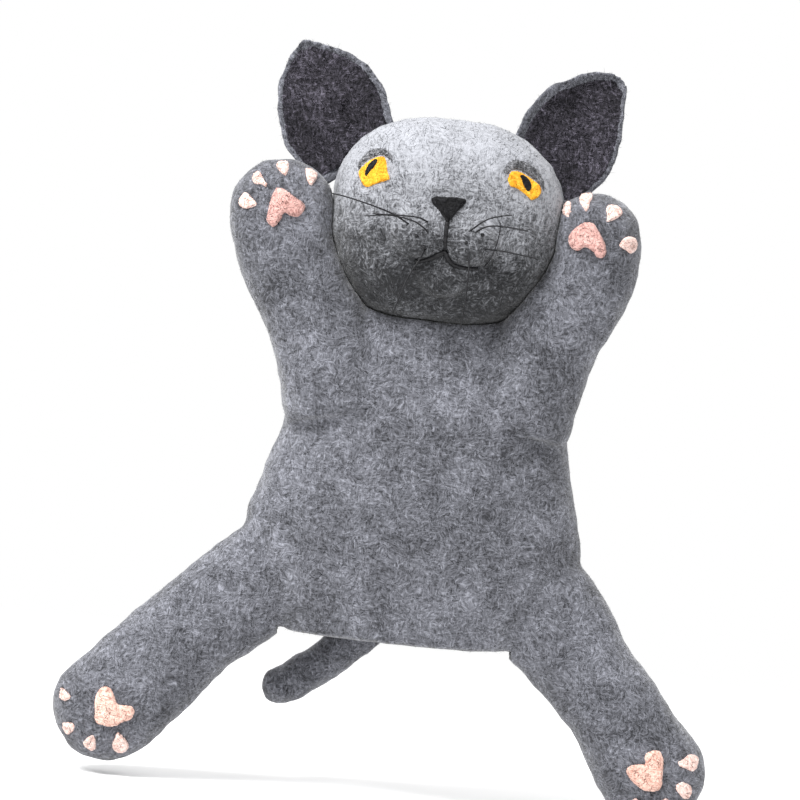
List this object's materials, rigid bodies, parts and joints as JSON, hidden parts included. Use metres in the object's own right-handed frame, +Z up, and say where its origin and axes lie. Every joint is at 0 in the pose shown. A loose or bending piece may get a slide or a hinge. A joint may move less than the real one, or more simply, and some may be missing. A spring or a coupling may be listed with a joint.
{
  "type": "hand puppet",
  "caption": "Felt cat hand puppet: hollow glove body open at the hem, stuffed round head with cupped ears, raised arms, splayed legs, heart paw pads and thread whiskers.",
  "frame": {"origin": "middle of the hem of the hand opening, in the hem's plane", "axes": "+Z up along the wearer's forearm, from the hem to the head; the face and paw pads look along -Y; +X to the right of a person facing the puppet"},
  "size_m": [0.3114, 0.1136, 0.3593],
  "materials": {
    "grey_felt": "thick wet-felted wool, mottled and hairy",
    "light_grey_felt": "needle-felted wool, mottled",
    "charcoal_felt": "needle-felted wool",
    "dark_grey_felt": "needle-felted wool",
    "rose_felt": "needle-felted wool",
    "blush_felt": "needle-felted wool",
    "pale_pink_felt": "needle-felted wool",
    "amber_felt": "needle-felted wool",
    "black_felt": "needle-felted wool",
    "black_thread": "waxed sewing thread",
    "wadding": "loose carded wool"
  },
  "bodies": {
    "torso": {"torso_glove": "grey_felt"},
    "neck": {"neck_sleeve": "grey_felt"},
    "head": {"head_felt": "light_grey_felt", "head_wadding": "wadding", "finger_pocket": "grey_felt", "finger_pocket_tip": "grey_felt", "ear_left": "grey_felt", "ear_left_lining": "charcoal_felt", "ear_right": "grey_felt", "ear_right_lining": "charcoal_felt", "iris_left": "amber_felt", "eyelid_left": "dark_grey_felt", "pupil_left": "black_felt", "iris_right": "amber_felt", "eyelid_right": "dark_grey_felt", "pupil_right": "black_felt", "muzzle_left": "light_grey_felt", "muzzle_right": "light_grey_felt", "nose": "black_felt", "mouth_thread": "black_thread", "whiskers_left": "black_thread", "whiskers_right": "black_thread"},
    "left_arm": {"arm_sleeve_left": "grey_felt"},
    "left_paw": {"front_paw_left": "grey_felt", "front_paw_left_wadding": "wadding", "front_paw_left_palm_pad": "rose_felt", "front_paw_left_toe_pad_1": "pale_pink_felt", "front_paw_left_toe_pad_2": "pale_pink_felt", "front_paw_left_toe_pad_3": "pale_pink_felt", "front_paw_left_toe_pad_4": "pale_pink_felt"},
    "right_arm": {"arm_sleeve_right": "grey_felt"},
    "right_paw": {"front_paw_right": "grey_felt", "front_paw_right_wadding": "wadding", "front_paw_right_palm_pad": "rose_felt", "front_paw_right_toe_pad_1": "pale_pink_felt", "front_paw_right_toe_pad_2": "pale_pink_felt", "front_paw_right_toe_pad_3": "pale_pink_felt", "front_paw_right_toe_pad_4": "pale_pink_felt"},
    "left_thigh": {"thigh_left": "grey_felt"},
    "left_leg": {"hind_leg_left": "grey_felt", "hind_leg_left_wadding": "wadding", "hind_leg_left_palm_pad": "blush_felt", "hind_leg_left_toe_pad_1": "pale_pink_felt", "hind_leg_left_toe_pad_2": "pale_pink_felt", "hind_leg_left_toe_pad_3": "pale_pink_felt", "hind_leg_left_toe_pad_4": "pale_pink_felt"},
    "right_thigh": {"thigh_right": "grey_felt"},
    "right_leg": {"hind_leg_right": "grey_felt", "hind_leg_right_wadding": "wadding", "hind_leg_right_palm_pad": "blush_felt", "hind_leg_right_toe_pad_1": "pale_pink_felt", "hind_leg_right_toe_pad_2": "pale_pink_felt", "hind_leg_right_toe_pad_3": "pale_pink_felt", "hind_leg_right_toe_pad_4": "pale_pink_felt"},
    "tail": {"tail": "grey_felt"}
  },
  "joints": [
    {"name": "head_nod", "type": "hinge", "parent": "torso", "child": "neck", "pos_m": [0, 0, 0.141], "axis": [1, 0, 0], "range_deg": [-14, 10], "stiffness_Nm_per_rad": 0.6},
    {"name": "head_turn", "type": "hinge", "parent": "neck", "child": "head", "pos_m": [0, 0, 0.141], "axis": [0, 0, 1], "range_deg": [-16, 16], "stiffness_Nm_per_rad": 0.4},
    {"name": "arm_left_swing", "type": "hinge", "parent": "torso", "child": "left_arm", "pos_m": [-0.0505, -0.012, 0.12], "axis": [0, -1, 0], "range_deg": [0, 75], "stiffness_Nm_per_rad": 0.4},
    {"name": "paw_left_curl", "type": "hinge", "parent": "left_arm", "child": "left_paw", "pos_m": [-0.06563, -0.012, 0.16025], "axis": [0.9361, 0, 0.3518], "range_deg": [-10, 50], "stiffness_Nm_per_rad": 0.3},
    {"name": "arm_right_swing", "type": "hinge", "parent": "torso", "child": "right_arm", "pos_m": [0.054, -0.012, 0.12], "axis": [0, 1, 0], "range_deg": [0, 75], "stiffness_Nm_per_rad": 0.4},
    {"name": "paw_right_curl", "type": "hinge", "parent": "right_arm", "child": "right_paw", "pos_m": [0.06513, -0.012, 0.16154], "axis": [0.9659, 0, -0.2588], "range_deg": [-10, 50], "stiffness_Nm_per_rad": 0.3},
    {"name": "leg_left_splay", "type": "hinge", "parent": "torso", "child": "left_thigh", "pos_m": [-0.076, 0, 0.024], "axis": [0, 1, 0], "range_deg": [-25, 20], "stiffness_Nm_per_rad": 0.4},
    {"name": "leg_left_bend", "type": "hinge", "parent": "left_thigh", "child": "left_leg", "pos_m": [-0.09952, 0, -0.00325], "axis": [-0.757, 0, 0.6534], "range_deg": [-10, 50], "stiffness_Nm_per_rad": 0.3},
    {"name": "leg_right_splay", "type": "hinge", "parent": "torso", "child": "right_thigh", "pos_m": [0.072, 0, 0.017], "axis": [0, -1, 0], "range_deg": [-25, 20], "stiffness_Nm_per_rad": 0.4},
    {"name": "leg_right_bend", "type": "hinge", "parent": "right_thigh", "child": "right_leg", "pos_m": [0.09446, 0, -0.01114], "axis": [-0.7815, 0, -0.6239], "range_deg": [-10, 50], "stiffness_Nm_per_rad": 0.3},
    {"name": "tail_swing", "type": "hinge", "parent": "torso", "child": "tail", "pos_m": [0, 0.042, 0.02], "axis": [0, 1, 0], "range_deg": [-30, 30], "stiffness_Nm_per_rad": 0.2}
  ]
}
